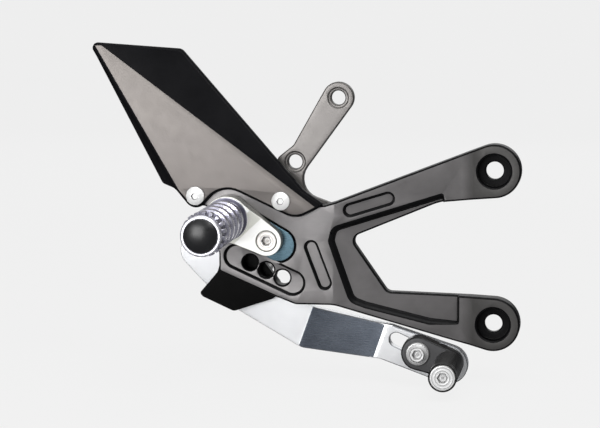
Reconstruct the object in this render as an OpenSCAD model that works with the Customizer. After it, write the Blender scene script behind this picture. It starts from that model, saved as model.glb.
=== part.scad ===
// Right-hand rear set footrest: base plate, foot peg, heel guard and brake pedal.
// Origin: midway between the two frame bolts, on the plate's mounting face.
// X points forward, Z up and Y inboard, so the foot peg stands out along -Y.

/* [Frame bolts] */
// Distance between the two frame bolts
bolt_span = 91.8; // [90:0.2:94]
// Radius of each frame bolt hole
bolt_hole_r = 5.25; // [4.2:0.05:6]
// Radius of the counterbore round each frame bolt hole
bolt_seat_r = 9.8; // [9:0.1:11]
// Depth of that counterbore
bolt_seat_depth = 6; // [3:0.5:8]
// Outer radius of the two frame bosses
boss_r = 16; // [15:0.1:18]

/* [Base plate] */
// How far behind the frame bolts the two arms meet
arm_reach = 93.9; // [90:0.1:104]
// Thickness of the plate
plate_thick = 12; // [11:0.5:14]
// How far the middle of the plate stands outboard of the bosses
plate_offset = 14; // [12:0.5:16]
// Depth of the lowered web beside the open V
web_depth = 4; // [2:0.5:6]
// Depth of the decorative slots
slot_depth = 2.5; // [1:0.25:5]
// Half width of the decorative slots
slot_r = 3.3; // [2:0.1:4]
// Radius of the spare adjusting holes
spare_hole_r = 4.5; // [3:0.1:4.6]
// Distance from one spare adjusting hole to the next
spare_pitch = 10.7; // [10.5:0.1:11.5]
// Depth of the stadium recess round those holes
recess_depth = 2; // [1:0.25:4]

/* [Peg track] */
// Half width of the track pocket
track_r = 9.9; // [9.7:0.1:10.4]
// Length of the track between its end centres
track_len = 28; // [24:0.5:29]
// Depth of the track pocket
track_depth = 5; // [4:0.25:6]
// Place of the mount bolt along the track
mount_shift = 6.7; // [5:0.1:8]

/* [Foot peg] */
// Distance from the mount bolt to the peg axis
peg_arm = 26.8; // [26:0.2:28]
// Thickness of the peg mount at its bolt
mount_thick = 9; // [8:0.5:11]
// Height of the round seat above that face
seat_rise = 4; // [2:0.5:6]
// Radius of the foot peg over its studs
peg_r = 12.8; // [12:0.1:13.2]
// Length of the foot peg without its cap
peg_len = 84; // [74:1:94]
// Distance from one ring of the peg to the next
ring_pitch = 14.3; // [13:0.1:15]
// Width of each ring
ring_w = 7.4; // [6:0.1:9]
// Depth of the grooves between the rings
groove_depth = 2.2; // [1.4:0.1:2.6]
// Width of the cuts between the studs of the outer ring
stud_gap = 1.9; // [1:0.1:2.4]
// Number of studs round the outer ring
studs = 18; // [12:1:22]

/* [Heel guard] */
// Wall of the heel guard
guard_wall = 4; // [3:0.25:5]
// Slope of the guard's upper face
guard_upper_tilt = 20; // [8:1:28]
// Slope of the guard's rear face
guard_rear_tilt = 45; // [20:1:55]

/* [Cylinder bracket] */
// Thickness of the bracket for the brake cylinder
bracket_thick = 6; // [5:0.5:8]
// Radius of the two holes for the brake cylinder
cylinder_hole_r = 4.25; // [3.2:0.05:5]

/* [Brake pedal] */
// Thickness of the pedal
pedal_thick = 8; // [7:0.5:9]
// How far the toe end stands outboard of the hub
pedal_step = 15.3; // [13:0.1:16]
// Radius of the pedal hub
hub_r = 12.9; // [12.4:0.1:14]
// Radius of the hole for the cylinder's push rod pin
rod_hole_r = 4; // [3:0.1:5]
// Half width of the slot for the toe holder
toe_slot_r = 4.2; // [4.1:0.1:5]
// Width of the pedal's toe end
toe_end_w = 22.8; // [20:0.2:24]

/* [Pedal pivot] */
// Thickness of the pedal carrier
carrier_thick = 6; // [5:0.5:8]
// Radius of the pivot shaft
pivot_r = 8; // [7:0.1:8.5]
// Wall of the pivot bushes
bush_wall = 1.5; // [1:0.1:2]
// Thickness of the bush flanges
bush_flange = 1; // [0.6:0.1:1.6]
// Wire radius of the return spring
wire_r = 0.8; // [0.6:0.05:1]
// Whole turns of the return spring
spring_coils = 2; // [1:1:4]

/* [Toe peg] */
// Thickness of the toe holder
holder_thick = 10; // [8:0.5:12]
// Distance from the holder screw to the toe peg
toe_reach = 19.4; // [19:0.2:22]
// Radius of the toe peg
toe_r = 8.3; // [7.8:0.1:9]
// Length of the toe peg
toe_len = 44; // [34:1:54]

/* [Fasteners and fits] */
// Radius of the M6 screws
m6_r = 3; // [2.5:0.1:3.4]
// Radius of the M8 bolts
m8_r = 4; // [3.5:0.1:4.05]
// Radius of the screw heads
head_r = 5.6; // [5:0.1:6]
// Running clearance of a shaft in its bush
run_fit = 0.05; // [0.02:0.01:0.09]
// Gap between faces that move past each other
face_gap = 0.3; // [0.2:0.05:0.6]

/* [Hidden] */
$fn = 64;
big = 400;
arc_steps = 8;

// Depths along Y, from the frame outwards
boss_front = -plate_thick;
mid_back = -plate_offset;
mid_front = -plate_offset - plate_thick;
guard_front = mid_front - guard_wall;
slider_front = mid_front - face_gap;
mount_front = slider_front - mount_thick;
seat_front = mount_front - seat_rise;
peg_tip = seat_front - peg_len;

// How deep the screws bite into the plate, and how far some heads and seats are let in
guard_bite = 10;
screw_bite = 8;
mount_bolt_sink = 3;
seat_sink = 0.8;
shaft_sink = 1.8;

// Depths along Y of the parts behind the plate
carrier_back = mid_back + carrier_thick;
hub_front = carrier_back + face_gap + bush_flange;
hub_back = hub_front + pedal_thick;
washer_thick = 1.5;
toe_front = hub_front - pedal_step;
toe_back = toe_front + pedal_thick;
holder_back = toe_front - face_gap;
holder_front = holder_back - holder_thick;
toe_tip = holder_front - toe_len;

// Places in the X Z plane
upper_bolt = [0, bolt_span / 2];
lower_bolt = [0, -bolt_span / 2];
crease_mid_x = -arm_reach;
crease_boss_x = -14;
track_start = behind(33.2, 1.5);
track_angle = 150;
mount_bolt = track_start + mount_shift * dir(track_angle);
peg_axis = mount_bolt + peg_arm * dir(track_angle);
guard_bolts = [behind(82.5, 30.7), behind(31.1, 28.4)];
recess_ends = [behind(58.5, -5.8), behind(24.7, -21.1)];
spare_start = behind(50.5, -9.5);
spare_angle = -24.3;
cylinder_holes = [behind(-1, 88.8), behind(24.8, 50.3)];
bracket_bolts = [behind(8.7, 15.3), behind(22.7, 22.3)];
carrier_bolts = [behind(61.5, -6.9), behind(54, -16.7)];
pivot = behind(63.7, -24.5);
high_bend = behind(14.6, -38.3);
rod_eye = behind(85.3, -5);
rod_eye_r = 10.8;
toe_end = behind(-68.5, -69);
toe_angle = 155;
holder_bolt = toe_end + 19.3 * dir(toe_angle);
toe_axis = holder_bolt + toe_reach * dir(-18.5);
holder_r = 10;
bush_r = pivot_r + run_fit + bush_wall;

// Place, or rounded corner, x behind the line where the arms meet
function behind(x, z) = [-arm_reach - x, z];
function corner(x, z, r) = [-arm_reach - x, z, r];
function dir(a) = [cos(a), sin(a)];
function unit(v) = v / norm(v);
function turn_to(a, b) = (b - a + 540) % 360 - 180;
function heading(v) = atan2(v[1], v[0]);

// Points of the arc of radius r that rounds the corner p between a and b
function corner_arc(a, p, b, r) =
    let (u = unit(a - p), v = unit(b - p), half = acos(u * v) / 2)
    let (c = p + unit(u + v) * r / sin(half), t = r / tan(half))
    let (from = heading(p + u * t - c), sweep = turn_to(from, heading(p + v * t - c)))
    [for (i = [0 : arc_steps]) c + r * dir(from + sweep * i / arc_steps)];

// Outline through corners [x, z, r], each rounded to its radius r
function rounded(corners) =
    let (n = len(corners), flat = [for (c = corners) [c[0], c[1]]])
    [for (i = [0 : n - 1])
        each corners[i][2] == 0 ? [flat[i]]
            : corner_arc(flat[(i + n - 1) % n], flat[i], flat[(i + 1) % n], corners[i][2])];

// Points along the arc round c from angle a0 to angle a1
function arc(c, r, a0, a1) =
    [for (i = [0 : 2 * arc_steps]) c + r * dir(a0 + (a1 - a0) * i / (2 * arc_steps))];

// Point where the line from p touches the circle round c, on side 1 or -1
function tangent(p, c, r, side) = c + r * dir(heading(p - c) + side * acos(r / norm(p - c)));
function sharp(p) = [p[0], p[1], 0];

// The stop pin lies against the pedal's upper edge, between the hub and the first bend
stop_r = 3;
stop_shift = 37;
pedal_edge = unit(tangent(high_bend, pivot, hub_r, 1) - high_bend);
stop_pin = high_bend + stop_shift * pedal_edge
    + (stop_r + face_gap) * [pedal_edge[1], -pedal_edge[0]];

// The spring's ends leave its coil as tangents, to the stop pin and to a hole in the pedal
spring_r = pivot_r + wire_r + 1.4;
spring_hole = behind(46.6, -33.5);
spring_rest = stop_pin + [-1, stop_r + wire_r + 0.1];
spring_start = heading(spring_rest - pivot) + acos(spring_r / norm(spring_rest - pivot));
spring_finish = heading(spring_hole - pivot) - acos(spring_r / norm(spring_hole - pivot));
spring_turns = spring_coils + ((spring_finish - spring_start + 720) % 360) / 360;
spring_y = hub_back + bush_flange + face_gap + wire_r;
spring_pitch = 2 * wire_r + 0.4;
spring_top = spring_y + spring_turns * spring_pitch;
shaft_end = spring_top + wire_r + face_gap;

// Shape in the X Z plane, from y0 back to y1
module slab(y0, y1) {
    translate([0, y1, 0])
        rotate([90, 0, 0])
            linear_extrude(y1 - y0)
                children();
}

// Round bar or bore along Y
module bar(p, r, y0, y1) {
    translate([p[0], y1, p[1]])
        rotate([90, 0, 0])
            cylinder(r = r, h = y1 - y0);
}

// Cone along Y, radius r0 at y0 and r1 at y1
module taper(p, r0, r1, y0, y1) {
    translate([p[0], y1, p[1]])
        rotate([90, 0, 0])
            cylinder(r1 = r1, r2 = r0, h = y1 - y0);
}

// Hexagon across its corners, along Y
module hexagon(p, r, y0, y1) {
    translate([p[0], y1, p[1]])
        rotate([90, 0, 0])
            cylinder(r = r, h = y1 - y0, $fn = 6);
}

// Slot with round ends centred on a and b
module stadium(a, b, r) {
    reach = norm(b - a);
    translate(a)
        rotate(heading(b - a)) {
            circle(r);
            translate([reach, 0])
                circle(r);
            translate([0, -r])
                square([reach, 2 * r]);
        }
}

// Two circles joined by their outer tangents
module pear(a, ra, b, rb) {
    lean = acos((ra - rb) / norm(b - a));
    to_b = heading(b - a);
    polygon(concat(arc(a, ra, to_b + lean, to_b + 360 - lean),
        arc(b, rb, to_b - lean, to_b + lean)));
}

// Screw head with a hex socket, its seat at y and its top outboard
module flanged_head(p, y, r, rise) {
    difference() {
        union() {
            bar(p, r, y - 0.35 * rise, y);
            taper(p, 0.62 * r, 0.86 * r, y - rise, y - 0.35 * rise);
        }
        hexagon(p, 0.42 * r, y - rise - 1, y - 0.4 * rise);
    }
}

// Domed screw head with a hex socket, its seat at y and its top outboard
module button_head(p, y, r, rise) {
    rim = 0.25 * rise;
    crown = rise - rim;
    dome_r = (r * r + crown * crown) / (2 * crown);
    difference() {
        union() {
            bar(p, r, y - rim, y);
            intersection() {
                translate([p[0], y - rise + dome_r, p[1]])
                    sphere(dome_r);
                bar(p, r, y - rise - 1, y - 0.5 * rim);
            }
        }
        hexagon(p, 0.36 * r, y - rise - 1, y - 0.35 * rise);
    }
}

// Base plate

module plate_outline() {
    v_upper = behind(-9.3, 6);
    v_lower = behind(-31.3, -26.5);
    arm_low = [-27, -54.6];
    arm_top = behind(-0.7, 27.6);
    arm_under = [-32.1, 27.3];
    polygon(rounded([corner(69, -14.8, 2), corner(33.8, -30, 10), corner(23, -34, 6),
        corner(0, -34, 20), sharp(arm_low),
        sharp(tangent(arm_low, lower_bolt, boss_r, 1)), sharp(lower_bolt),
        sharp(tangent(v_lower, lower_bolt, boss_r, -1)), [v_lower[0], v_lower[1], 5],
        [v_upper[0], v_upper[1], 4.5], [arm_under[0], arm_under[1], 30],
        sharp(tangent(arm_under, upper_bolt, boss_r, 1)), sharp(upper_bolt),
        sharp(tangent(arm_top, upper_bolt, boss_r, -1)), [arm_top[0], arm_top[1], 12],
        corner(6.5, 25.4, 6), corner(17.5, 28, 8), corner(28.5, 36.7, 8),
        corner(76.5, 37.7, 4), corner(89.3, 37.7, 6.4), corner(89.3, 24.3, 6.4),
        corner(75, 24.3, 4), corner(73, 10.1, 8), corner(69, -3.9, 12)]));
    translate(upper_bolt)
        circle(boss_r);
    translate(lower_bolt)
        circle(boss_r);
}

// Space in front of the plate's outboard face, sunk into it by depth
module outboard_of_plate(depth) {
    linear_extrude(big, center = true)
        polygon([[-big, -big], [-big, mid_front + depth], [crease_mid_x, mid_front + depth],
            [crease_boss_x, boss_front + depth], [big, boss_front + depth], [big, -big]]);
}

// Stepped body of the plate seen from above
module plate_levels() {
    linear_extrude(big, center = true)
        polygon([[-big, mid_front], [crease_mid_x, mid_front], [crease_boss_x, boss_front],
            [big, boss_front], [big, 0], [crease_boss_x, 0], [crease_mid_x, mid_back],
            [-big, mid_back]]);
}

module web_outline() {
    polygon(rounded([[-30, 30, 0], corner(-1, 10.6, 4), corner(0.4, 4.4, 2),
        corner(-11.5, -30, 6), corner(-19, -33, 4), [-37.5, -43, 6], [-21, -45, 0],
        [-21, -20, 0], [-30, 0, 0]]));
}

module pocket(depth) {
    intersection() {
        outboard_of_plate(depth);
        slab(mid_front - 10, 0)
            children();
    }
}

module base_plate() {
    color([0.45, 0.45, 0.45])
        difference() {
            intersection() {
                slab(mid_front, 0)
                    plate_outline();
                plate_levels();
            }
            for (p = [upper_bolt, lower_bolt]) {
                bar(p, bolt_hole_r, -big, big);
                bar(p, bolt_seat_r, -big, boss_front + bolt_seat_depth);
            }
            intersection() {
                outboard_of_plate(web_depth);
                difference() {
                    slab(mid_front - 1, 0)
                        web_outline();
                    for (p = [upper_bolt, lower_bolt])
                        bar(p, boss_r + 3, -big, big);
                }
            }
            pocket(slot_depth)
                stadium([-84.3, 22.9], [-62.4, 29.6], slot_r);
            pocket(slot_depth)
                stadium(behind(13.5, 0.6), behind(5.3, -20.8), slot_r);
            pocket(recess_depth)
                stadium(recess_ends[0], recess_ends[1], 6.8);
            for (i = [0 : 2])
                bar(spare_start + i * spare_pitch * dir(spare_angle), spare_hole_r, -big, big);
            pocket(track_depth)
                stadium(track_start, track_start + track_len * dir(track_angle), track_r);
            slab(-big, big)
                stadium(track_start + 3 * dir(track_angle),
                    track_start + (track_len - 2) * dir(track_angle), m8_r + face_gap);
            for (p = guard_bolts)
                bar(p, m6_r, -big, mid_front + guard_bite);
            for (p = bracket_bolts)
                bar(p, m6_r, mid_back - screw_bite, big);
            for (p = carrier_bolts)
                bar(p, m6_r, mid_back - screw_bite, big);
        }
}

// Heel guard

module guard_outline() {
    polygon(rounded([corner(146.5, 121.8, 3), corner(92.3, 117.6, 5), corner(17.7, 34.6, 8),
        corner(5.3, 26.2, 1.2), corner(22.3, 17.2, 14), corner(66.8, 37.9, 15),
        [guard_bolts[0][0], guard_bolts[0][1] - 11, 7], corner(95.3, 35, 3),
        corner(103.5, 37.3, 3)]));
}

// Space behind a plane through p that runs along angle a and leans back by tilt
module leaning_plane(p, a, tilt) {
    translate([p[0], guard_front, p[1]])
        rotate([0, a, 0])
            rotate([tilt, 0, 0])
                translate([-big, 0, -big])
                    cube([2 * big, 90, 2 * big]);
}

module guard_faces(back) {
    translate([0, back, 0])
        intersection() {
            leaning_plane([0, 0], 0, 0);
            leaning_plane(behind(139.1, 120), 36.5, -guard_upper_tilt);
            leaning_plane(behind(143.3, 117.7), 59.65, guard_rear_tilt);
        }
}

module heel_guard() {
    color([0.3, 0.3, 0.31])
        difference() {
            intersection() {
                slab(guard_front - 1, 0)
                    guard_outline();
                guard_faces(0);
            }
            guard_faces(guard_wall);
            for (p = guard_bolts)
                bar(p, m6_r + 0.2, -big, big);
        }
}

module heel_guard_screws() {
    color([0.9, 0.9, 0.9])
        for (p = guard_bolts) {
            button_head(p, guard_front, head_r, 3.4);
            bar(p, m6_r, guard_front - 0.5, mid_front + guard_bite);
        }
}

// Bracket for the brake cylinder, behind the plate

module bracket_outline() {
    top = cylinder_holes[0];
    lobe = 9.4;
    elbow = behind(25.9, 60.2);
    notch = behind(26.8, 34.2);
    polygon(rounded([sharp(top), sharp(tangent(elbow, top, lobe, -1)),
        [elbow[0], elbow[1], 6], corner(35.2, 52.8, 3), corner(36.7, 43, 8),
        corner(35.7, 20.5, 6), corner(17.7, 2.5, 6), corner(2.7, 2.5, 6),
        corner(1.7, 25.2, 2), [notch[0], notch[1], 11.7],
        sharp(tangent(notch, top, lobe, 1))]));
    translate(top)
        circle(lobe);
}

module cylinder_bracket() {
    color([0.68, 0.67, 0.66])
        difference() {
            slab(mid_back, mid_back + bracket_thick)
                bracket_outline();
            for (p = cylinder_holes) {
                bar(p, cylinder_hole_r, -big, big);
                bar(p, cylinder_hole_r + 1.6, -big, mid_back + seat_sink);
            }
            for (p = bracket_bolts)
                bar(p, m6_r + 0.2, -big, big);
        }
}

module cylinder_bracket_screws() {
    seat = mid_back + bracket_thick;
    color([0.75, 0.75, 0.75])
        for (p = bracket_bolts) {
            mirror([0, 1, 0])
                flanged_head(p, -seat, head_r, 4);
            bar(p, m6_r, mid_back - screw_bite, seat);
        }
}

// Foot peg and its mount

module peg_slider() {
    color([0.55, 0.62, 0.66])
        difference() {
            slab(slider_front, mid_front + track_depth)
                stadium(track_start, track_start + 2 * mount_shift * dir(track_angle),
                    track_r - face_gap);
            bar(mount_bolt, m8_r + 0.2, -big, big);
        }
}

module peg_mount() {
    // The slope up to the seat runs across the arm, turned from it by this angle
    slope_angle = track_angle - 16.7;
    mount_r = peg_r + 0.4;
    arm_inset = 0.2;
    color([0.93, 0.93, 0.92])
        difference() {
            union() {
                intersection() {
                    slab(seat_front, slider_front)
                        pear(mount_bolt, 8.8, peg_axis, mount_r - arm_inset);
                    translate([mount_bolt[0], 0, mount_bolt[1]])
                        rotate([0, -slope_angle, 0])
                            linear_extrude(big, center = true)
                                polygon([[-big, 0], [-big, mount_front], [11.9, mount_front],
                                    [11.9 + 2 * seat_rise, seat_front], [big, seat_front],
                                    [big, 0]]);
                }
                bar(peg_axis, mount_r, seat_front, slider_front);
            }
            bar(mount_bolt, m8_r + 0.2, -big, big);
            bar(mount_bolt, 6.3, -big, mount_front + mount_bolt_sink);
            bar(peg_axis, m8_r + 0.2, -big, big);
            bar(peg_axis, 7, slider_front - 6, big);
        }
}

module peg_mount_bolt() {
    seat = mount_front + mount_bolt_sink;
    color([0.8, 0.78, 0.74])
        difference() {
            union() {
                bar(mount_bolt, 6, mount_front + 0.4, seat);
                bar(mount_bolt, m8_r, seat, mid_back + 6);
            }
            hexagon(mount_bolt, 2.9, -big, seat + 1.5);
        }
}

module peg_mount_nut() {
    color([0.5, 0.5, 0.5])
        difference() {
            union() {
                bar(mount_bolt, 8, mid_back, mid_back + 1.5);
                hexagon(mount_bolt, 7.2, mid_back + 1.5, mid_back + 6);
            }
            bar(mount_bolt, m8_r, -big, big);
        }
}

// The grip: plain rings with sloping flanks, and an outer ring cut into studs
module foot_peg() {
    rim_r = peg_r - 1.1;
    core_r = peg_r - groove_depth;
    stud_y = peg_tip + 12;
    rings = floor((peg_len - 18) / ring_pitch);
    color([0.72, 0.71, 0.74])
        difference() {
            union() {
                bar(peg_axis, core_r, peg_tip + 1, seat_front);
                bar(peg_axis, rim_r, peg_tip + 0.6, peg_tip + 3);
                taper(peg_axis, rim_r - 0.6, rim_r, peg_tip, peg_tip + 0.6);
                difference() {
                    grip_ring(stud_y, peg_r);
                    for (i = [0 : studs - 1])
                        stud_cut(stud_y, 360 * (i + 0.5) / studs);
                }
                for (i = [1 : rings])
                    grip_ring(stud_y + i * ring_pitch, peg_r - 0.4);
                bar(peg_axis, peg_r, seat_front - 2, seat_front);
            }
            bar(peg_axis, rim_r - 1.9, peg_tip - 1, peg_tip + 1);
            bar(peg_axis, 6, peg_tip - 1, peg_tip + 8);
            bar(peg_axis, m8_r, seat_front - 22, seat_front + 1);
        }
}

// Raised ring of radius r centred at y, with a sloping flank on each side
module grip_ring(y, r) {
    flank = 1.2;
    core_r = peg_r - groove_depth - 0.1;
    half = ring_w / 2;
    bar(peg_axis, r, y - half + flank, y + half - flank);
    taper(peg_axis, core_r, r, y - half, y - half + flank);
    taper(peg_axis, r, core_r, y + half - flank, y + half);
}

// Cut along the peg through the ring centred at y, turned by a
module stud_cut(y, a) {
    translate([peg_axis[0], 0, peg_axis[1]])
        rotate([0, a, 0])
            translate([-stud_gap / 2, y - ring_w, peg_r - groove_depth + 0.2])
                cube([stud_gap, 2 * ring_w, 10]);
}

module peg_bolt() {
    seat = slider_front - 6;
    color([0.6, 0.6, 0.6])
        difference() {
            union() {
                bar(peg_axis, 6.6, seat, seat + 5.4);
                bar(peg_axis, m8_r, seat_front - 20, seat);
            }
            hexagon(peg_axis, 3.4, seat + 2, big);
        }
}

module peg_end_cap() {
    dome = 2.6;
    cap_r = peg_r - 3.1;
    sphere_r = (cap_r * cap_r + dome * dome) / (2 * dome);
    color([0.05, 0.05, 0.06]) {
        intersection() {
            translate([peg_axis[0], peg_tip + sphere_r - dome, peg_axis[1]])
                sphere(sphere_r);
            bar(peg_axis, cap_r, peg_tip - dome - 1, peg_tip + 1);
        }
        bar(peg_axis, 5.9, peg_tip, peg_tip + 7);
    }
}

// Pedal carrier and pivot, behind the plate

module carrier_outline() {
    polygon(rounded([corner(72.2, -17, 6), corner(83.1, -30, 1.6), corner(81.3, -32.2, 1.6),
        corner(62.3, -40.8, 4), corner(37.2, -32.3, 5), corner(33.2, -24, 5),
        corner(47.2, -5.5, 8), corner(58.1, 0.2, 8), corner(68.1, -2.8, 6)]));
}

module pedal_carrier() {
    color([0.03, 0.03, 0.03])
        difference() {
            slab(mid_back, carrier_back)
                carrier_outline();
            bar(pivot, 5, mid_back + shaft_sink, big);
            bar(stop_pin, stop_r - 1, mid_back + shaft_sink, big);
            for (p = carrier_bolts) {
                bar(p, m6_r + 0.2, -big, big);
                taper(p, m6_r + 0.2, m6_r + 2.8, carrier_back - 2.6, carrier_back);
            }
        }
}

module pedal_carrier_screws() {
    color([0.3, 0.3, 0.3])
        for (p = carrier_bolts)
            difference() {
                union() {
                    bar(p, m6_r, mid_back - screw_bite, carrier_back - 2.6);
                    taper(p, m6_r, m6_r + 2.6, carrier_back - 2.6, carrier_back);
                }
                hexagon(p, 2.2, carrier_back - 2.2, big);
            }
}

// Steel pin that the pedal comes up against
module pedal_stop() {
    color([0.6, 0.6, 0.6]) {
        bar(stop_pin, stop_r - 1, mid_back + shaft_sink, carrier_back + 1);
        bar(stop_pin, stop_r, carrier_back, spring_top + 2);
    }
}

module pivot_shaft() {
    color([0.7, 0.7, 0.7])
        difference() {
            union() {
                bar(pivot, 5, mid_back + shaft_sink, carrier_back + 1);
                bar(pivot, pivot_r, carrier_back, shaft_end);
            }
            bar(pivot, m6_r, shaft_end - 12, big);
        }
}

module pivot_washer() {
    color([0.75, 0.75, 0.75])
        difference() {
            bar(pivot, spring_r + 1.8, shaft_end, shaft_end + washer_thick);
            bar(pivot, m6_r + 0.2, -big, big);
        }
}

module pivot_screw() {
    seat = shaft_end + washer_thick;
    color([0.6, 0.6, 0.6]) {
        mirror([0, 1, 0])
            flanged_head(pivot, -seat, head_r, 4);
        bar(pivot, m6_r, shaft_end - 10, seat);
    }
}

module pivot_bushes() {
    color([0.72, 0.55, 0.3]) {
        flanged_bush(hub_front, -1);
        flanged_bush(hub_back, 1);
    }
}

// Flanged bush whose flange lies outside the hub face at y, on side 1 or -1
module flanged_bush(y, side) {
    sleeve = pedal_thick / 2 - 0.2;
    difference() {
        union() {
            bar(pivot, bush_r, min(y, y - side * sleeve), max(y, y - side * sleeve));
            bar(pivot, bush_r + 1.6, min(y, y + side * bush_flange),
                max(y, y + side * bush_flange));
        }
        bar(pivot, pivot_r + run_fit, -big, big);
    }
}

// Torsion spring: one end bears on the stop pin, the other sits in the pedal

function ring_points(c, x_dir, y_dir, r, sides) =
    [for (k = [0 : sides - 1]) c + r * (cos(360 * k / sides) * x_dir + sin(360 * k / sides) * y_dir)];

spring_sides = 8;
coil_steps = ceil(spring_turns * 16);
coil_path = [for (i = [0 : coil_steps])
    let (t = i / coil_steps, p = pivot + spring_r * dir(spring_start + 360 * spring_turns * t))
    [p[0], spring_top + (spring_y - spring_top) * t, p[1]]];
spring_path = concat(
    [[spring_rest[0] + 4, spring_top, spring_rest[1]], [spring_rest[0], spring_top, spring_rest[1]]],
    coil_path,
    [[spring_hole[0] - 1.2, spring_y, spring_hole[1] + 0.1],
        [spring_hole[0], spring_y - 0.5, spring_hole[1]],
        [spring_hole[0], hub_back - 3, spring_hole[1]]]);

module return_spring() {
    n = len(spring_path);
    tangents = [for (i = [0 : n - 1])
        unit(spring_path[min(i + 1, n - 1)] - spring_path[max(i - 1, 0)])];
    rings = [for (i = [0 : n - 1])
        let (side = unit(cross(tangents[i], abs(tangents[i][1]) > 0.6 ? [1, 0, 0] : [0, 1, 0])))
        ring_points(spring_path[i], side, cross(tangents[i], side), wire_r, spring_sides)];
    points = [for (ring = rings) each ring];
    walls = [for (i = [0 : n - 2], k = [0 : spring_sides - 1])
        let (a = i * spring_sides, next = (k + 1) % spring_sides)
        [a + k, a + spring_sides + k, a + spring_sides + next, a + next]];
    first_cap = [for (k = [0 : spring_sides - 1]) k];
    last_cap = [for (k = [spring_sides - 1 : -1 : 0]) (n - 1) * spring_sides + k];
    color([0.7, 0.7, 0.72])
        polyhedron(points, concat([first_cap], walls, [last_cap]));
}

// Brake pedal

module pedal_outline() {
    low_bend = behind(22.2, -63.1);
    low_toe = behind(-27, -66);
    high_toe = behind(-33.9, -45.8);
    toe_end_r = toe_end_w / 2;
    low_touch = tangent(low_toe, toe_end, toe_end_r, 1);
    high_touch = tangent(high_toe, toe_end, toe_end_r, -1);
    from = heading(low_touch - toe_end);
    turn = (heading(high_touch - toe_end) - from + 360) % 360;
    pear(rod_eye, rod_eye_r, pivot, hub_r);
    polygon(rounded(concat([sharp(pivot), sharp(tangent(low_bend, pivot, hub_r, -1)),
        [low_bend[0], low_bend[1], 10], [low_toe[0], low_toe[1], 14]],
        [for (p = arc(toe_end, toe_end_r, from, from + turn))
            sharp(p)],
        [[high_toe[0], high_toe[1], 14], [high_bend[0], high_bend[1], 16],
            sharp(tangent(high_bend, pivot, hub_r, 1))])));
}

// Stepped body of the pedal, its two bends leaning with the arm
module pedal_levels() {
    bend_lean = 19.2;
    bend_in = -arm_reach * cos(bend_lean) - 1.8;
    bend_out = bend_in + 46.6;
    rotate([0, bend_lean, 0])
        linear_extrude(big, center = true)
            polygon([[-big, hub_front], [bend_in, hub_front], [bend_out, toe_front],
                [big, toe_front], [big, toe_back], [bend_out - 2, toe_back],
                [bend_in - 2, hub_back], [-big, hub_back]]);
}

module brake_pedal() {
    color([0.85, 0.86, 0.87])
        difference() {
            intersection() {
                slab(toe_front, hub_back)
                    pedal_outline();
                pedal_levels();
            }
            bar(pivot, bush_r, -big, big);
            bar(rod_eye, rod_hole_r, -big, big);
            slab(-big, big)
                stadium(toe_end + 6 * dir(toe_angle), toe_end + 34.5 * dir(toe_angle), toe_slot_r);
            bar(spring_hole, wire_r + 0.3, hub_back - 4, big);
        }
}

// Toe peg and its holder

module toe_holder_screw() {
    color([0.85, 0.85, 0.85]) {
        flanged_head(holder_bolt, holder_front - face_gap, 6.8, 4.6);
        bar(holder_bolt, m8_r, holder_front - face_gap, toe_back + 6);
    }
}

module toe_holder_nut() {
    color([0.5, 0.5, 0.5])
        difference() {
            union() {
                bar(holder_bolt, 8, toe_back, toe_back + 1.5);
                hexagon(holder_bolt, 7.2, toe_back + 1.5, toe_back + 6);
            }
            bar(holder_bolt, m8_r, -big, big);
        }
}

module toe_holder() {
    color([0.1, 0.1, 0.1])
        difference() {
            slab(holder_front, holder_back)
                pear(holder_bolt, holder_r, toe_axis, toe_r);
            bar(holder_bolt, m8_r + run_fit, -big, big);
            bar(toe_axis, m6_r, -big, big);
        }
}

module toe_peg() {
    rings = floor((toe_len - 8) / 4);
    color([0.12, 0.12, 0.12])
        difference() {
            bar(toe_axis, toe_r, toe_tip, holder_front);
            for (i = [0 : rings - 1])
                difference() {
                    bar(toe_axis, toe_r + 3, holder_front - 4 - 4 * i, holder_front - 2.4 - 4 * i);
                    bar(toe_axis, toe_r - 0.9, -big, big);
                }
            bar(toe_axis, m6_r + 0.2, -big, big);
            bar(toe_axis, toe_r - 0.7, toe_tip - 1, toe_tip + 2);
        }
}

module toe_peg_screw() {
    color([0.85, 0.85, 0.85])
        difference() {
            union() {
                bar(toe_axis, toe_r - 0.8, toe_tip - 0.4, toe_tip + 2);
                bar(toe_axis, m6_r, toe_tip + 2, holder_back - 1);
            }
            hexagon(toe_axis, 2.8, toe_tip - 2, toe_tip + 1.4);
        }
}

base_plate();
heel_guard();
heel_guard_screws();
cylinder_bracket();
cylinder_bracket_screws();
peg_slider();
peg_mount();
peg_mount_bolt();
peg_mount_nut();
foot_peg();
peg_bolt();
peg_end_cap();
pedal_carrier();
pedal_carrier_screws();
pedal_stop();
pivot_shaft();
pivot_washer();
pivot_screw();
return_spring();
brake_pedal();
pivot_bushes();
toe_holder_screw();
toe_holder_nut();
toe_holder();
toe_peg();
toe_peg_screw();
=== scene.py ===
"""Right-hand rear set footrest in a pale studio: plate, heel guard, foot peg and brake pedal."""
from math import acos, atan2, ceil, cos, hypot, pi, radians, sin

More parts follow.
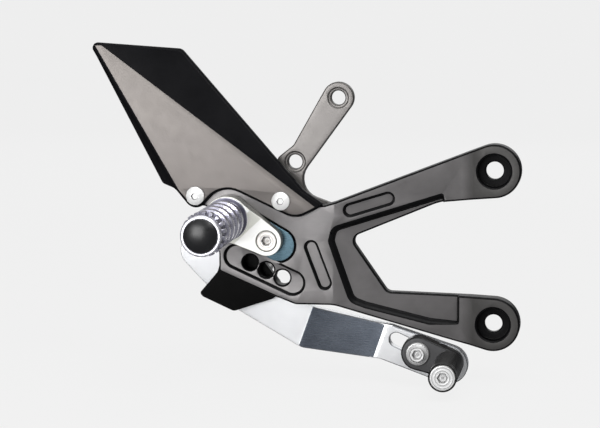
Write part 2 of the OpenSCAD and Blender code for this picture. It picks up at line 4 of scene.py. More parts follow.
import bmesh
import bpy
import numpy as np
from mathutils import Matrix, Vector


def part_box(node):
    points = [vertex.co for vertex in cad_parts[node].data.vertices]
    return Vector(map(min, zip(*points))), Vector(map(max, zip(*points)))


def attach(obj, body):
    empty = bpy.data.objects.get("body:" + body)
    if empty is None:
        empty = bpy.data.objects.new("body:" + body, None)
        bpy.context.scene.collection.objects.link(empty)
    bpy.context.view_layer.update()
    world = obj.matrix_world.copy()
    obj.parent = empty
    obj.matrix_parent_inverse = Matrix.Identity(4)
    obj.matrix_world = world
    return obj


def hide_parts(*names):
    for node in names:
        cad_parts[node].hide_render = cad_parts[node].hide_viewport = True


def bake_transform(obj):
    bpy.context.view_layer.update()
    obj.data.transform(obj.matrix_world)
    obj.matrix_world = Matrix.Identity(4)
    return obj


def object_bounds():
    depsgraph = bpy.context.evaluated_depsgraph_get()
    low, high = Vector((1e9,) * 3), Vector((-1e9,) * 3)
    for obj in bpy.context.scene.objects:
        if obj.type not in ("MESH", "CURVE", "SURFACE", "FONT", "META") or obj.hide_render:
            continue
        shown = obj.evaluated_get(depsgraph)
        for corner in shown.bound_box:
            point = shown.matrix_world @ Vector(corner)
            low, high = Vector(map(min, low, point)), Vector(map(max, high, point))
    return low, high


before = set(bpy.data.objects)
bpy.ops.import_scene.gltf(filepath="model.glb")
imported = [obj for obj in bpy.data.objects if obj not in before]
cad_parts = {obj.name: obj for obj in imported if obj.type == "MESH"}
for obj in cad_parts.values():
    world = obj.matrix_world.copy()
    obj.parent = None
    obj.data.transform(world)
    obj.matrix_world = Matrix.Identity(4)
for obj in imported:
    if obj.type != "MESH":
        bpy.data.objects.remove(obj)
cad_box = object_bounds()
MM = 0.001      # metres; lengths are in metres where they aren't said to be in millimetres


# ---- Finishes

def tone(r, g, b):
    """A screen colour, 0 to 255, as the linear colour that a shader takes."""
    c = np.array([r, g, b]) / 255
    return (*np.where(c <= 0.04045, c / 12.92, ((c + 0.055) / 1.055) ** 2.4), 1.0)


class Finish:
    """A material built up in layers on a Principled shader, all on Object coordinates."""

    def __init__(self, name, metallic, **sockets):
        self.material = bpy.data.materials.new(name)
        self.material.use_nodes = True
        self.tree = self.material.node_tree
        self.shader = self.tree.nodes["Principled BSDF"]
        self.shader.inputs["Metallic"].default_value = metallic
        for socket, value in sockets.items():
            self.shader.inputs[socket.replace("_", " ")].default_value = value
        self.place = self.node("ShaderNodeTexCoord").outputs["Object"]
        self.heights = []

    def node(self, kind, inputs=(), **settings):
        """A new node with its inputs linked or set, and its own settings."""
        made = self.tree.nodes.new(kind)
        for key, value in settings.items():
            setattr(made, key, value)
        for socket, value in dict(inputs).items():
            if isinstance(value, bpy.types.NodeSocket):
                self.tree.links.new(value, made.inputs[socket])
            else:
                made.inputs[socket].default_value = value
        return made

    def math(self, operation, a, b=0.0):
        """What a math node makes of one or two values."""
        return self.node("ShaderNodeMath", {0: a, 1: b}, operation=operation).outputs[0]

    def spread(self, value, low, high, to_low=0.0, to_high=1.0):
        """Maps low..high of a value to to_low..to_high, and holds it there."""
        return self.node("ShaderNodeMapRange", {0: value, 1: low, 2: high, 3: to_low,
                                                4: to_high}).outputs[0]

    def mix(self, share, a, b):
        """Colour a with a share of colour b over it."""
        return self.node("ShaderNodeMix", {0: share, 6: a, 7: b}, data_type="RGBA").outputs[2]

    def cloud(self, scale, detail=2.0, roughness=0.5, place=None):
        """Noise of 0 to 1, with about scale blots a metre."""
        return self.node("ShaderNodeTexNoise", {"Vector": place or self.place, "Scale": scale,
                                                "Detail": detail,
                                                "Roughness": roughness}).outputs["Fac"]

    def stretched(self, along, turn=(0, 0, 0)):
        """Object coordinates turned by degrees and scaled by along, for marks that run one way."""
        return self.node("ShaderNodeMapping", {
            "Vector": self.place, "Rotation": [radians(a) for a in turn],
            "Scale": along}).outputs["Vector"]

    def painted_shade_along_x(self, colour, painted_shade):
        """Painted shade: painted_shade = (x, x, tone) takes the colour to that tone from the first
        x to the second, in millimetres."""
        x = self.node("ShaderNodeSeparateXYZ", {"Vector": self.place}).outputs["X"]
        return self.mix(self.spread(x, painted_shade[0] * MM, painted_shade[1] * MM), colour, painted_shade[2])

    def around(self, axis):
        """Radius from the axis through (x, z) in millimetres along Y, and length along it."""
        moved = self.node("ShaderNodeVectorMath", {
            0: self.place, 1: (axis[0] * MM, 0, axis[1] * MM)}, operation="SUBTRACT").outputs[0]
        flat = self.node("ShaderNodeVectorMath", {0: moved, 1: (1, 0, 1)},
                         operation="MULTIPLY").outputs[0]
        radius = self.node("ShaderNodeVectorMath", {0: flat}, operation="LENGTH").outputs["Value"]
        return radius, self.node("ShaderNodeSeparateXYZ", {0: moved}).outputs["Y"]

    def lathe(self, axis, lines):
        """Tool rings round an axis: noise of radius plus length, with lines of them a metre."""
        at = self.math("MULTIPLY", self.math("ADD", *self.around(axis)), lines)
        return self.node("ShaderNodeTexNoise", {"W": at, "Scale": 1.0, "Detail": 2.0},
                         noise_dimensions="1D").outputs["Fac"]

    def worn(self, radius, start=0.97, full=0.80):
        """How near a sharp edge is, 0 to 1: the turn of a normal rounded over radius millimetres
        from the true one, whose cosine runs from start to full."""
        rounded = self.node("ShaderNodeBevel", {"Radius": radius * MM}, samples=4)
        true = self.node("ShaderNodeNewGeometry")
        turn = self.node("ShaderNodeVectorMath", {0: rounded.outputs[0],
                                                  1: true.outputs["Normal"]},
                         operation="DOT_PRODUCT").outputs["Value"]
        return self.spread(turn, start, full)

    def raise_by(self, height, depth):
        """Adds a height field, depth in millimetres from its lowest to its highest."""
        self.heights.append((height, depth * MM))

    def done(self, colour, rough):
        """The material, with its colour, its roughness and all its height fields linked up."""
        self.tree.links.new(colour, self.shader.inputs["Base Color"])
        self.tree.links.new(rough, self.shader.inputs["Roughness"])
        normal = None
        for height, depth in self.heights:
            inputs = {"Height": height, "Distance": depth, "Strength": 1.0}
            if normal is not None:
                inputs["Normal"] = normal
            normal = self.node("ShaderNodeBump", inputs).outputs["Normal"]
        if normal is not None:
            self.tree.links.new(normal, self.shader.inputs["Normal"])
        return self.material


def blasted(name, light, dark, metallic, rough, wear=None, patch=45, grain=2600, depth=0.012,
            brush=None, painted_shade=None, **sockets):
    """Bead-blasted and anodised metal: cloudy tone, fine pitted grain, edges rubbed to wear.
    brush adds faint drawn lines that run at that many degrees in the X Z plane, and painted_shade
    paints shade into it, darker along X."""
    f = Finish(name, metallic, **sockets)
    clouds = f.cloud(patch, 4.0, 0.6)
    pits = f.cloud(grain, 2.0, 0.7)
    colour = f.mix(f.spread(clouds, 0.3, 0.7), dark, light)
    colour = f.mix(f.spread(pits, 0.35, 0.75, 0.0, 0.25), colour, dark)
    if brush is not None:
        lines = f.cloud(1.0, 4.0, 0.6, f.stretched((25, 200, 1500), (0, brush, 0)))
        colour = f.mix(f.spread(lines, 0.5, 0.75, 0.0, 0.3), colour, dark)
        f.raise_by(lines, 0.003)
    if painted_shade:
        colour = f.painted_shade_along_x(colour, painted_shade)
    if wear:
        rubbed = f.math("MULTIPLY", f.worn(0.35), f.spread(f.cloud(220, 3.0), 0.42, 0.66))
        colour = f.mix(rubbed, colour, wear)
    f.raise_by(pits, depth)
    return f.done(colour, f.spread(f.cloud(160, 3.0), 0.25, 0.75, rough - 0.02, rough + 0.03))


def milled(name, light, dark, metallic, rough, turn, pale=None, painted_shade=None):
    """Fine machined metal: straight cutter lines in the X Z plane, turned by turn degrees.
    pale = (spans, tone) paints a highlight into it, taking it to that tone over spans of the
    turned
    X, in millimetres, and painted_shade paints shade into it along X."""
    f = Finish(name, metallic)
    lines = f.cloud(1.0, 3.0, 0.6, f.stretched((60, 400, 3600), (0, turn, 0)))
    clouds = f.cloud(60, 3.0)
    colour = f.mix(f.spread(clouds, 0.3, 0.7), dark, light)
    colour = f.mix(f.spread(lines, 0.45, 0.7, 0.0, 0.3), colour, dark)
    if painted_shade:
        colour = f.painted_shade_along_x(colour, painted_shade)
    if pale:
        x = f.node("ShaderNodeSeparateXYZ",
                   {"Vector": f.stretched((1, 1, 1), (0, turn, 0))}).outputs["X"]
        for low, high in pale[0]:
            inside = f.math("MULTIPLY", f.spread(x, (low - 1) * MM, low * MM),
                            f.spread(x, high * MM, (high + 1) * MM, 1.0, 0.0))
            colour = f.mix(inside, colour, pale[1])
    f.raise_by(lines, 0.006)
    return f.done(colour, f.spread(lines, 0.3, 0.7, rough - 0.06, rough + 0.08))


def lathed(name, light, dark, metallic, rough, axis, depth=0.008, lines=5200, **sockets):
    """Turned metal: fine tool rings round its own axis, dull patches where it is handled."""
    f = Finish(name, metallic, **sockets)
    rings = f.lathe(axis, lines)
    clouds = f.cloud(140, 3.0)
    colour = f.mix(f.spread(clouds, 0.3, 0.7), dark, light)
    colour = f.mix(f.spread(rings, 0.4, 0.7, 0.0, 0.35), colour, dark)
    f.raise_by(rings, depth)
    return f.done(colour, f.spread(f.math("ADD", rings, clouds), 0.7, 1.3, rough - 0.06,
                                   rough + 0.08))


def axis_of(node):
    """Where the axis of a round node along Y stands: (x, z) in millimetres."""
    low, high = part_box(node)
    return (low[0] + high[0]) / 2 / MM, (low[2] + high[2]) / 2 / MM


def ringed(name, light, dark, axis, pitch):
    """A turned screw head: bright, with darker rings every pitch millimetres of radius round its
    axis, and fine tool marks between them."""
    f = Finish(name, 0.5)
    wave = f.math("SINE", f.math("MULTIPLY", f.around(axis)[0], 2 * pi / (pitch * MM)))
    marks = f.lathe(axis, 6000)
    colour = f.mix(f.spread(wave, 0.35, 0.95, 0.0, 0.8), light, dark)
    colour = f.mix(f.spread(marks, 0.4, 0.7, 0.0, 0.25), colour, dark)
    f.raise_by(wave, 0.03)
    f.raise_by(marks, 0.004)
    return f.done(colour, f.spread(marks, 0.3, 0.7, 0.28, 0.40))


# ---- Pieces

WELD = 4e-6                     # points nearer than this many metres become one
FLAT_ANGLE = radians(0.4)       # faces that meet at less become one
FOLD_ANGLE, BEND_ANGLE = radians(3), radians(10)    # a fold and a bend of a plate turn by more
FOLDED_OVER = radians(179)      # faces that meet at more lie on each other
SAME_PLANE = 0.9998             # least cosine between the normals of one flat region
ONE_WAY = 0.3                   # least share of such a region's area that is left facing one way


def cut_edge(edge, sharp):
    """True where the two faces at an edge meet at more than sharp."""
    return len(edge.link_faces) == 2 and edge.calc_face_angle(0.0) > sharp


def flat_region(seed):
    """The faces that lie in one plane with the seed and join it edge to edge, in a fixed order."""
    found, front = {seed: True}, [seed]
    while front:
        for edge in front.pop().edges:
            for face in edge.link_faces:
                if face not in found and abs(face.normal.dot(seed.normal)) > SAME_PLANE:
                    found[face] = True
                    front.append(face)
    return list(found)


def main_finish(faces):
    """The number of the finish that covers the most of the faces."""
    area = {}
    for face in faces:
        area[face.material_index] = area.get(face.material_index, 0) + face.calc_area()
    return max(area, key=area.get)


def fill_flat(mesh):
    """Fills a flat face anew from its outline where the broken edges fold triangles over in it."""
    bm = bmesh.new()
    bm.from_mesh(mesh)
    folded = [f for f in bm.faces if any(cut_edge(e, FOLDED_OVER) for e in f.edges)]
    while folded:
        region = flat_region(folded[0])
        inside = set(region)
        folded = [f for f in folded if f not in inside]
        up = Vector()
        for face in region:
            up += face.normal * face.calc_area()
        if up.length < ONE_WAY * sum(f.calc_area() for f in region) or len(region) < 3:
            continue
        number = main_finish(region)
        edges = dict.fromkeys(e for f in region for e in f.edges)
        outline = [e for e in edges if any(f not in inside for f in e.link_faces)]
        inner = [e for e in edges if all(f in inside for f in e.link_faces)]
        bmesh.ops.delete(bm, geom=region, context="FACES_ONLY")
        bmesh.ops.delete(bm, geom=inner, context="EDGES")
        filled = bmesh.ops.triangle_fill(bm, edges=outline, normal=up.normalized(),
                                         use_beauty=True, use_dissolve=False)["geom"]
        for face in filled:
            if isinstance(face, bmesh.types.BMFace):
                face.normal_update()
                if face.normal.dot(up) < 0:
                    face.normal_flip()
                face.material_index = number
                face.smooth = True
    bm.to_mesh(mesh)
    bm.free()


def baked(piece):
    """The mesh that the piece's modifiers make, which the piece then has as its own."""
    graph = bpy.context.evaluated_depsgraph_get()
    mesh = bpy.data.meshes.new_from_object(piece.evaluated_get(graph),
                                           preserve_all_data_layers=True, depsgraph=graph)
    piece.modifiers.clear()
    piece.data = mesh
    return mesh


def hold_in_box(mesh, node):
    """Keeps every point of a mesh inside the CAD node's own box."""
    points = np.empty(len(mesh.vertices) * 3)
    mesh.vertices.foreach_get("co", points)
    low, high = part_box(node)
    held = np.clip(points.reshape(-1, 3), low, high)
    mesh.vertices.foreach_set("co", held.ravel())


def settle(piece, node, whole):
    """Applies the bevels and evens the shading, and makes the flat faces whole first if whole."""
    mesh = baked(piece)
    if whole:
        fill_flat(mesh)
    even = piece.modifiers.new("even_shading", "WEIGHTED_NORMAL")
    even.keep_sharp = True
    hold_in_box(baked(piece), node)


def dress(node, body, finishes, chamfer, choose=None, fillet=0.3, steps=2, sharp=28,
          rim=1, share=None, folded=False, bends=False, whole=True):
    """Stands for a CAD node: its own surface, welded, with its flat faces made whole again, its
    edges over sharp degrees broken by chamfer millimetres and its inner corners by fillet times
    that. choose picks each face's finish by its number, rim is the broken edges' number, and
    share gives the part of the chamfer that an edge takes. A folded plate keeps its folds crisp,
    and with bends the lines where its folds meet are broken too."""
    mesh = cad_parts[node].data.copy()
    bm = bmesh.new()
    bm.from_mesh(mesh)
    bmesh.ops.remove_doubles(bm, verts=bm.verts, dist=WELD)
    bmesh.ops.dissolve_limit(bm, angle_limit=FLAT_ANGLE, verts=bm.verts, edges=bm.edges,
                             use_dissolve_boundaries=False)
    bmesh.ops.connect_verts_concave(bm, faces=[f for f in bm.faces if len(f.verts) > 4])
    bm.normal_update()
    weight = bm.edges.layers.float.new("bevel_weight_edge")
    limit = radians(sharp)
    for edge in bm.edges:
        bend = bends and cut_edge(edge, BEND_ANGLE) and is_bend(edge)
        if cut_edge(edge, limit) or bend:
            edge[weight] = share(edge) if share else 1.0 if edge.is_convex else fillet
            edge.smooth = steps > 1
        elif folded and cut_edge(edge, FOLD_ANGLE):
            edge.smooth = min(abs(f.normal.y) for f in edge.link_faces) < FOLD_FACE
    for face in bm.faces:
        face.smooth = True
        face.material_index = choose(face) if choose else 0
    mesh.materials.clear()
    for finish in finishes:
        mesh.materials.append(finish)
    bm.to_mesh(mesh)
    bm.free()
    piece = bpy.data.objects.new(node + "_dressed", mesh)
    bpy.context.scene.collection.objects.link(piece)
    bevel = piece.modifiers.new("broken_edges", "BEVEL")
    bevel.limit_method = "WEIGHT"
    bevel.width = chamfer * MM
    bevel.segments = steps
    bevel.profile = 0.5
    bevel.use_clamp_overlap = False
    bevel.loop_slide = False
    bevel.material = rim if len(finishes) > rim else -1
    bevel.miter_outer = "MITER_ARC"
    settle(piece, node, whole)
    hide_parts(node)
    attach(piece, body)


# The least part of a face's normal that lies along Y: WALL_LIMIT for all but walls, FOLD_FACE
# where a crease between folds stays crisp, FOLD_LIMIT for a folded plate's faces at a bend,
# PEDAL_FLAT for the pedal's flats, and SQUARE_FLAT for a face square to Y
WALL_LIMIT, FOLD_FACE, FOLD_LIMIT, PEDAL_FLAT, SQUARE_FLAT = 0.55, 0.6, 0.85, 0.975, 0.985

# In the X Z plane, in millimetres
FRAME_BOLTS, BOLT_SEAT_R = [(0, 45.9), (0, -45.9)], 9.9
WEB_STEP = [(-30, 30), (-92.8, 10.6), (-94.3, 4.4), (-82.4, -30), (-74.9, -33), (-37.5, -43)]
STEP_REACH = 1.2
PEG_AXIS, TOE_AXIS = axis_of("foot_peg"), axis_of("toe_peg")
PEG_CORE_R, RING_RISE = 10.6, 0.5       # the rings' tops stand out from the core by more

# The pedal's bends: how many degrees its arm leans, and where along it they lie, in millimetres
BEND_LEAN, BEND_IN, BEND_OUT = 19.2, -90.5, -43.9

# Along Y, in metres: the peg's end, the depth of its rim, and how far out the pedal's outboard
# bends lie
PEG_TIP, TIP_RIM, BEND_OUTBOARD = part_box("foot_peg")[0].y, 2 * MM, -20 * MM


# ---- This rear set's finishes

# Painted shade: the plate's face darkens towards the frame bosses, from x = -19 to -12 mm.
plate_face = blasted("plate_face", tone(128, 126, 126), tone(112, 110, 110), 0.85, 0.40, brush=0,
                     painted_shade=(-19, -12, tone(80, 79, 78)))
plate_edge = blasted("plate_edge", tone(10, 10, 11), tone(4, 4, 5), 0.0, 0.42,
                     wear=tone(52, 51, 50), Specular_IOR_Level=0.1)
guard_face = blasted("guard_face", tone(106, 102, 99), tone(103, 99, 97), 0.85, 0.42,
                     patch=22, brush=-37)
guard_dark = blasted("guard_dark", tone(14, 14, 16), tone(6, 6, 8), 0.0, 0.42,
                     wear=tone(40, 39, 38), Specular_IOR_Level=0.05)
bracket_face = blasted("bracket_face", tone(129, 126, 124), tone(120, 117, 115), 0.8, 0.45,
                       patch=30)
bracket_edge = blasted("bracket_edge", tone(84, 82, 80), tone(66, 64, 62), 0.7, 0.45)
slider_face = milled("slider_face", tone(96, 120, 132), tone(60, 82, 92), 0.9, 0.28, 60)
mount_face = milled("mount_face", tone(252, 252, 250), tone(244, 244, 241), 0.15, 0.42, 30)
mount_edge = milled("mount_edge", tone(190, 190, 185), tone(160, 160, 156), 0.85, 0.3, 30)
# Painted shade: the mount's slope up to the seat is a greyer copy of its white face.
mount_slope_painted_shade = milled("mount_slope_painted_shade", tone(236, 236, 228), tone(222, 222, 214), 0.4, 0.4, 30)
carrier_skin = blasted("carrier_skin", tone(4, 4, 4), tone(1, 1, 1), 0.0, 0.3,
                       wear=tone(20, 20, 20), Specular_IOR_Level=0.05)
# Painted shade: the pedal's face darkens towards its rear end, from x = -125 to -172 mm.
pedal_face = milled("pedal_face", tone(226, 227, 228), tone(216, 217, 219), 0.7, 0.34,
                    -BEND_LEAN, painted_shade=(-125, -172, tone(190, 191, 193)))
pedal_wall = milled("pedal_wall", tone(222, 224, 226), tone(200, 202, 205), 0.85, 0.28,
                    -BEND_LEAN)
# Painted reflection: the outboard face of the pedal's slope is a dark blue-grey copy of its silver
# metal.
pedal_slope_painted_reflection = milled("pedal_slope_painted_reflection", tone(84, 89, 97), tone(70, 75, 83), 0.92, 0.26, -BEND_LEAN)
# Painted highlight: the rim is taken to near white on the pedal's front section and over the
# rounded outboard bend.
pedal_rim = milled("pedal_rim", tone(128, 130, 133), tone(104, 106, 110), 0.9, 0.30, -BEND_LEAN,
                   pale=([(-300, BEND_IN), (BEND_OUT - 3, BEND_OUT + 3)], tone(232, 233, 234)))
toe_black = blasted("toe_black", tone(80, 80, 81), tone(66, 66, 67), 0.5, 0.38)
toe_dark = blasted("toe_dark", tone(10, 10, 10), tone(4, 4, 4), 0.1, 0.36,
                   wear=tone(60, 60, 60), Specular_IOR_Level=0.25)
screw_skin = blasted("screw_skin", tone(240, 240, 240), tone(226, 226, 225), 0.35, 0.36,
                     grain=5200)
bolt_skin = ringed("bolt_skin", tone(238, 236, 233), tone(196, 188, 180),
                   axis_of("peg_mount_bolt"), 1.7)
toe_screw_skin = ringed("toe_screw_skin", tone(226, 226, 226), tone(150, 150, 150),
                        axis_of("toe_holder_screw"), 1.9)
end_screw_skin = ringed("end_screw_skin", tone(222, 222, 222), tone(146, 146, 146),
                        axis_of("toe_peg_screw"), 1.9)
screw_dark = blasted("screw_dark", tone(150, 149, 148), tone(116, 116, 115), 0.8, 0.4, grain=5200)
steel = blasted("plain_steel", tone(176, 176, 174), tone(150, 150, 150), 0.9, 0.34, grain=4200)
spring_wire = blasted("spring_wire", tone(150, 150, 153), tone(104, 104, 108), 0.9, 0.30,
                      patch=90, grain=5200, depth=0.004)
bronze = blasted("bush_bronze", tone(196, 160, 104), tone(170, 134, 82), 0.9, 0.36)
peg_skin = lathed("peg_skin", tone(188, 187, 200), tone(164, 163, 178), 0.92, 0.26, PEG_AXIS,
                  depth=0.004)
# Painted highlight: the rim at the peg's tip is a lighter copy of its skin.
peg_rim_painted_highlight = lathed("peg_rim_painted_highlight", tone(206, 206, 212), tone(184, 184, 192), 0.85, 0.24, PEG_AXIS,
                  depth=0.003)
# Painted shade: the grooves and cuts between the rings are a darker copy of the skin.
peg_groove_painted_shade = lathed("peg_groove_painted_shade", tone(136, 135, 150), tone(104, 103, 118), 0.88, 0.38, PEG_AXIS)
cap_skin = lathed("cap_skin", tone(8, 9, 11), tone(3, 4, 6), 0.0, 0.32, PEG_AXIS, depth=0.002)
toe_peg_skin = lathed("toe_peg_skin", tone(34, 34, 34), tone(14, 14, 14), 0.4, 0.34, TOE_AXIS,
                      Specular_IOR_Level=0.3)


# ---- Which finish a face has, and how broad an edge's chamfer is

def is_wall(face):
    """A face that stands along Y: the side of a plate, slot or pocket."""
    return 1 if abs(face.normal.y) < WALL_LIMIT else 0


def near_line(point, line, reach):
    """True where a point is within reach of a line of corners, all in millimetres in X and Z."""
    for a, b in zip(line, line[1:]):
        a, b = np.array(a), np.array(b)
        along = np.clip(np.dot(point - a, b - a) / np.dot(b - a, b - a), 0, 1)
        if np.linalg.norm(point - a - along * (b - a)) < reach:
            return True
    return False


def in_plane(place):
    """A place's X and Z in millimetres."""
    return np.array([place.x, place.z]) / MM


def plate_side(face):
    """Walls and the sunk rings round the frame bolts in black, 1, and the faces 0."""
    place = in_plane(face.calc_center_median())
    ring = min(np.linalg.norm(place - bolt) for bolt in FRAME_BOLTS) < BOLT_SEAT_R
    return 1 if ring and face.normal.y < 0 else is_wall(face)


def plate_share(edge):
    """The step down to the web has a broad chamfer, and the other edges a narrow one."""
    middle = (edge.verts[0].co + edge.verts[1].co) / 2
    if edge.is_convex and near_line(in_plane(middle), WEB_STEP, STEP_REACH) and middle.y < -MM:
        return 1.0
    return 0.36 if edge.is_convex else 0.2


def guard_side(face):
    """The grey outboard flat, 0, and all the rest in black, 1."""
    return 0 if face.normal.y < -SQUARE_FLAT else 1


def guard_share(edge):
    """Outboard edges have a broad black chamfer, and the inboard ones a narrow one."""
    if not edge.is_convex:
        return 0.2
    return 1.0 if min(f.normal.y for f in edge.link_faces) < -FOLD_LIMIT else 0.25


def pedal_side(face):
    """Walls 1, the bright faces 0, and the outboard face of the slope 2, which has the painted
    reflection.
    """
    if abs(face.normal.y) < WALL_LIMIT:
        return 1
    return 2 if -PEDAL_FLAT < face.normal.y < -FOLD_LIMIT else 0


def is_bend(edge):
    """True on the line where two folds of a plate meet."""
    return min(abs(f.normal.y) for f in edge.link_faces) > FOLD_LIMIT


def pedal_share(edge):
    """The outboard bend is broadly rounded, and the other edges are only broken."""
    if is_bend(edge):
        return 0.6 if edge.is_convex and edge.verts[0].co.y < BEND_OUTBOARD else 0.0
    return 0.25 if edge.is_convex else 0.1


def mount_side(face):
    """Walls 1, the flat faces 0, and the slope up to the seat 2, in painted shade."""
    if abs(face.normal.y) < WALL_LIMIT:
        return 1
    return 2 if -SQUARE_FLAT < face.normal.y < 0 else 0


def peg_side(face):
    """The tops of the rings 0, the rim at the tip 1 with its painted highlight, and the grooves
    and cuts between 2 with their painted shade.
    """
    middle = face.calc_center_median()
    radius = np.linalg.norm(in_plane(middle) - PEG_AXIS)
    if face.normal.y < -WALL_LIMIT and middle.y < PEG_TIP + TIP_RIM:
        return 1
    outward = (face.normal.x * (middle.x / MM - PEG_AXIS[0])
               + face.normal.z * (middle.z / MM - PEG_AXIS[1])) / radius
    return 0 if radius > PEG_CORE_R + RING_RISE and outward > 0.3 else 2


dress("base_plate", "base", [plate_face, plate_edge], 3.0, plate_side,
      share=plate_share)
dress("heel_guard", "base", [guard_face, guard_dark], 1.6, guard_side,
      share=guard_share, folded=True)
dress("heel_guard_screws", "base", [screw_skin, screw_dark], 0.25, is_wall,
      sharp=24, whole=False)
dress("cylinder_bracket", "base", [bracket_face, bracket_edge], 0.7, is_wall)
dress("cylinder_bracket_screws", "base", [screw_skin, screw_dark], 0.3, sharp=20)
dress("peg_slider", "base", [slider_face], 0.3)
dress("peg_mount", "base", [mount_face, mount_edge, mount_slope_painted_shade], 0.4, mount_side,
      rim=2, folded=True)
dress("peg_mount_bolt", "base", [bolt_skin, steel], 0.3, is_wall)
dress("peg_mount_nut", "base", [steel], 0.3)
dress("foot_peg", "base", [peg_skin, peg_rim_painted_highlight, peg_groove_painted_shade], 0.22, peg_side, steps=1)
dress("peg_bolt", "base", [steel], 0.3)
dress("peg_end_cap", "base", [cap_skin], 0.3)
dress("pedal_carrier", "base", [carrier_skin], 0.5)
dress("pedal_carrier_screws", "base", [steel], 0.2)
dress("pedal_stop", "base", [steel], 0.4)
dress("pivot_shaft", "base", [steel], 0.4)
dress("pivot_washer", "base", [steel], 0.3)
dress("pivot_screw", "base", [screw_skin], 0.3, sharp=20)
dress("brake_pedal", "pedal", [pedal_face, pedal_wall, pedal_slope_painted_reflection, pedal_rim], 2.0,
      pedal_side, steps=3, rim=3, share=pedal_share, folded=True, bends=True)
dress("pivot_bushes", "pedal", [bronze], 0.2)
dress("toe_holder_screw", "pedal", [toe_screw_skin, screw_dark], 0.3, sharp=20)
dress("toe_holder_nut", "pedal", [steel], 0.3)
dress("toe_holder", "toe", [toe_black, toe_dark], 0.9, is_wall)
dress("toe_peg", "toe", [toe_peg_skin], 0.2, steps=1)
dress("toe_peg_screw", "toe", [end_screw_skin, screw_dark], 0.4)


# ---- The return spring, in millimetres

PIVOT = np.array([-157.6, -24.5])
PIN_REST, PEDAL_HOLE = np.array([-139.762, -12.857]), np.array([-140.5, -33.5])     # X and Z
COIL_R, WIRE_R, COIL_PITCH = 10.2, 0.8, 2.0
COIL_LOW, HOLE_END = 3.4, -1.7          # Y of the coil's lower end and of the wire's end
HOOK_R, HOOK_DROP = 1.2, 0.1            # the bend's size, and how far the leg falls in Z along it
TURN_STEPS, HOOK_STEPS = 48, 9


def touch_angle(point, side):
    """Where a line from a point touches the coil: the point's heading seen from the pivot, plus
    or minus the angle whose cosine is coil radius over distance."""
    away = point - PIVOT
    return atan2(away[1], away[0]) + side * acos(COIL_R / hypot(*away))


def spring_line():
    """The wire's middle line: a straight leg on the stop pin, a helix round the pivot whose Y
    falls evenly with its angle, a straight leg, and a bend (a quadratic curve with its corner
    over the hole) down into the pedal. Also gives the Y of the coil's upper end."""
    start, finish = touch_angle(PIN_REST, 1), touch_angle(PEDAL_HOLE, -1)
    turns = 2 + (finish - start) % (2 * pi) / (2 * pi)
    top = COIL_LOW + turns * COIL_PITCH
    share = np.linspace(0, 1, ceil(turns * TURN_STEPS) + 1)
    angle = start + 2 * pi * turns * share
    helix = np.stack([PIVOT[0] + COIL_R * np.cos(angle), top + (COIL_LOW - top) * share,
                      PIVOT[1] + COIL_R * np.sin(angle)], 1)
    x, z = PEDAL_HOLE
    t = np.linspace(0, 1, HOOK_STEPS)[:, None]
    hook = ((1 - t) ** 2 * [x - HOOK_R, COIL_LOW, z + HOOK_DROP]
            + 2 * t * (1 - t) * [x, COIL_LOW, z] + t ** 2 * [x, COIL_LOW - HOOK_R, z])
    leg = np.array([[PIN_REST[0] + d, top, PIN_REST[1]] for d in (4, 2, 0)])
    return np.concatenate([leg, helix, hook, [[x, HOLE_END, z]]]), top


def wire_mesh(name, line, radius, sides=16):
    """A round tube along a line: rings of points square to it, each ring's first point carried
    on from the ring before by taking out the part that runs along the wire."""
    ahead = np.gradient(line, axis=0)
    ahead /= np.linalg.norm(ahead, axis=1)[:, None]
    round_it = np.linspace(0, 2 * pi, sides, endpoint=False)
    side, rings = np.array([0.0, 1.0, 0.0]), []
    for point, along in zip(line, ahead):
        side = side - np.dot(side, along) * along
        side /= np.linalg.norm(side)
        other = np.cross(along, side)
        rings.append(point + radius * (np.cos(round_it)[:, None] * side
                                       + np.sin(round_it)[:, None] * other))
    i, k = np.meshgrid(np.arange(len(line) - 1) * sides, np.arange(sides), indexing="ij")
    after = (k + 1) % sides
    walls = np.stack([i + k, i + after, i + sides + after, i + sides + k], -1).reshape(-1, 4)
    last = (len(line) - 1) * sides
    caps = [list(range(sides - 1, -1, -1)), list(range(last, last + sides))]
    mesh = bpy.data.meshes.new(name)
    mesh.from_pydata((np.concatenate(rings) * MM).tolist(), [], walls.tolist() + caps)
    mesh.polygons.foreach_set("use_smooth", np.arange(len(walls) + 2) < len(walls))
    return mesh


def return_spring():
    """The spring's wire at rest, with its upper leg on the stop pin and its lower one in the
    pedal."""
    line, top = spring_line()
    mesh = wire_mesh("pedal_return_spring", line, WIRE_R)
    mesh.materials.append(spring_wire)
    hold_in_box(mesh, "return_spring")
    piece = bpy.data.objects.new("pedal_return_spring", mesh)
    bpy.context.scene.collection.objects.link(piece)
    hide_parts("return_spring")
    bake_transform(piece)


return_spring()


# ---- Studio

EVEN_SHARE = 0.97                       # of the paper that the camera sees as one even white
PAPER_IN_METAL = tone(130, 130, 132)
SHEET_WIDTH, SHEET_RISE = 7.0, 3.0
FLOOR_Y, WALL_Y, SHEET_BEND = (-3.5, -1.2, 0.0, 0.5), 2.6, 0.6


def studio_paper():
    """White paper that looks even to the camera, keeps a faint shadow, and is a quiet grey where
    bright metal mirrors it."""
    f = Finish("studio_paper", 0.0)
    rays = f.node("ShaderNodeLightPath").outputs
    paper = f.mix(f.cloud(3.0, 2.0), tone(232, 232, 232), tone(240, 240, 240))
    paper = f.mix(rays["Is Glossy Ray"], paper, PAPER_IN_METAL)
    f.done(paper, f.spread(f.cloud(40.0), 0.0, 1.0, 0.85, 0.95))
    f.shader.inputs["Specular IOR Level"].default_value = 0.0
    glow = f.node("ShaderNodeEmission", {"Color": tone(238, 238, 238), "Strength": 1.02})
    even = f.node("ShaderNodeMixShader", {
        0: f.math("MULTIPLY", rays["Is Camera Ray"], EVEN_SHARE),
        1: f.shader.outputs[0], 2: glow.outputs[0]})
    f.tree.links.new(even.outputs[0], f.tree.nodes["Material Output"].inputs["Surface"])
    return f.material


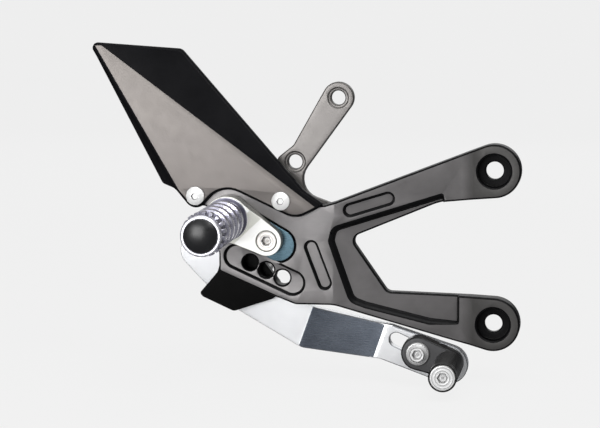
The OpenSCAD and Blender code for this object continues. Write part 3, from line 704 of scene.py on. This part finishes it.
def backdrop(floor_z):
    """Floor and wall as one sheet: a straight floor, a quarter turn and a straight wall, swept
    along X."""
    turn = np.linspace(0, pi / 2, 24)
    profile = np.concatenate([
        [[y, floor_z] for y in FLOOR_Y],
        np.stack([WALL_Y + SHEET_BEND * np.sin(turn),
                  floor_z + SHEET_BEND * (1 - np.cos(turn))], 1),
        [[WALL_Y + SHEET_BEND, floor_z + SHEET_RISE]]])
    across = np.linspace(-SHEET_WIDTH / 2, SHEET_WIDTH / 2, 8)
    x, k = np.meshgrid(across, np.arange(len(profile)), indexing="ij")
    points = np.stack([x, profile[k, 0], profile[k, 1]], -1).reshape(-1, 3)
    i, j = np.meshgrid(np.arange(len(across) - 1), np.arange(len(profile) - 1), indexing="ij")
    a = (i * len(profile) + j).ravel()
    quads = np.stack([a, a + len(profile), a + len(profile) + 1, a + 1], 1)
    mesh = bpy.data.meshes.new("backdrop")
    mesh.from_pydata(points.tolist(), [], quads.tolist())
    mesh.polygons.foreach_set("use_smooth", np.ones(len(quads), bool))
    mesh.materials.append(studio_paper())
    sheet = bpy.data.objects.new("backdrop", mesh)
    bpy.context.scene.collection.objects.link(sheet)


def lamp(name, place, aim, size, power):
    """A rectangular lamp of that many watts, which the camera doesn't see."""
    light = bpy.data.lights.new(name, "AREA")
    light.shape = "RECTANGLE"
    light.size, light.size_y = size
    light.energy = power
    holder = bpy.data.objects.new(name, light)
    holder.location = place
    holder.rotation_euler = (Vector(aim) - Vector(place)).to_track_quat("-Z", "Y").to_euler()
    holder.visible_camera = False
    bpy.context.scene.collection.objects.link(holder)


def camera(azimuth, elevation, distance, aim, lens):
    """A camera turned by azimuth degrees from the front and raised by elevation degrees."""
    a, e = radians(azimuth), radians(elevation)
    away = Vector((sin(a) * cos(e), -cos(a) * cos(e), sin(e)))
    data = bpy.data.cameras.new("studio_camera")
    data.lens = lens
    data.sensor_width = 36
    data.clip_start = 0.01
    holder = bpy.data.objects.new("studio_camera", data)
    holder.location = Vector(aim) + away * distance
    holder.rotation_euler = (-away).to_track_quat("-Z", "Y").to_euler()
    bpy.context.scene.collection.objects.link(holder)
    bpy.context.scene.camera = holder


backdrop(cad_box[0].z - 0.0005)
lamp("front_left", (-0.38, -0.75, 0.14), (-0.14, 0, 0.02), (0.45, 0.42), 4.0)
lamp("overhead", (0.0, -0.3, 1.4), (-0.1, 0, 0), (1.4, 1.0), 12)
lamp("front_right", (0.45, -0.81, 0.99), (-0.1, 0, 0), (0.5, 0.5), 9)
lamp("rear", (-0.1, 1.5, 0.6), (-0.1, 0, 0), (1.3, 0.9), 5)
camera(8.2, 6.6, 1.45, (-0.112, -0.04, 0.022), 148)

world = bpy.data.worlds.new("studio_air")
bpy.context.scene.world = world
world.use_nodes = True
air = world.node_tree.nodes["Background"]
air.inputs["Color"].default_value = (0.86, 0.86, 0.86, 1)
air.inputs["Strength"].default_value = 0.35
bpy.context.scene.view_settings.view_transform = "Standard"
